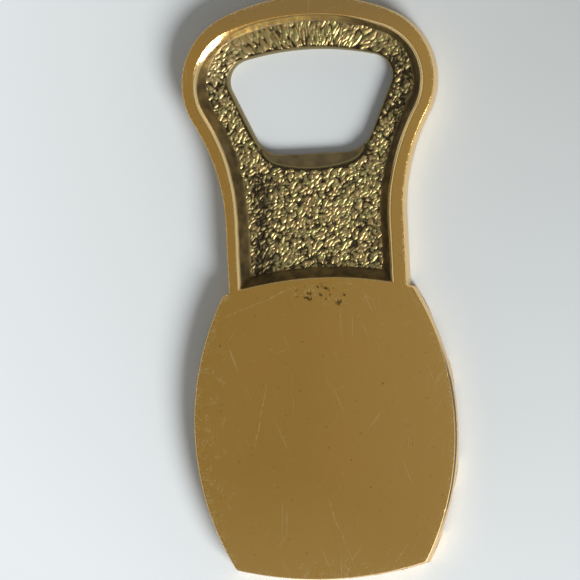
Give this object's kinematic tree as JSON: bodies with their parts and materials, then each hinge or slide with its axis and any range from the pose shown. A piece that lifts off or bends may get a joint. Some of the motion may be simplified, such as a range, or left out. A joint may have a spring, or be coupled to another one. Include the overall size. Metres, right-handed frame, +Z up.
{
  "type": "bottle opener",
  "caption": "Cast brass hand bottle opener: flared head with a cap opening and lip, recessed stippled neck, and a barrel-shaped handle with a flat back.",
  "frame": {"origin": "centre of the bounding box's underside, in the plane of the front face that the opener lies on", "axes": "+X across the handle, +Y along it towards the head, +Z up out of the flat back"},
  "size_m": [0.0512, 0.113, 0.0055],
  "materials": {
    "polished_brass": "ground and hand-polished, with fine scratches",
    "antiqued_brass": "as cast, stippled and darkened",
    "smooth_dark_brass": "smooth as cast, darkened"
  },
  "bodies": {
    "root": {"head_rim": "polished_brass", "head_web": "antiqued_brass", "neck_panel": "antiqued_brass", "cap_lip": "smooth_dark_brass", "barrel_body": "polished_brass", "upper_chime_hoop": "polished_brass", "upper_bilge_hoop": "polished_brass", "lower_bilge_hoop": "polished_brass", "lower_chime_hoop": "polished_brass"}
  },
  "joints": []
}
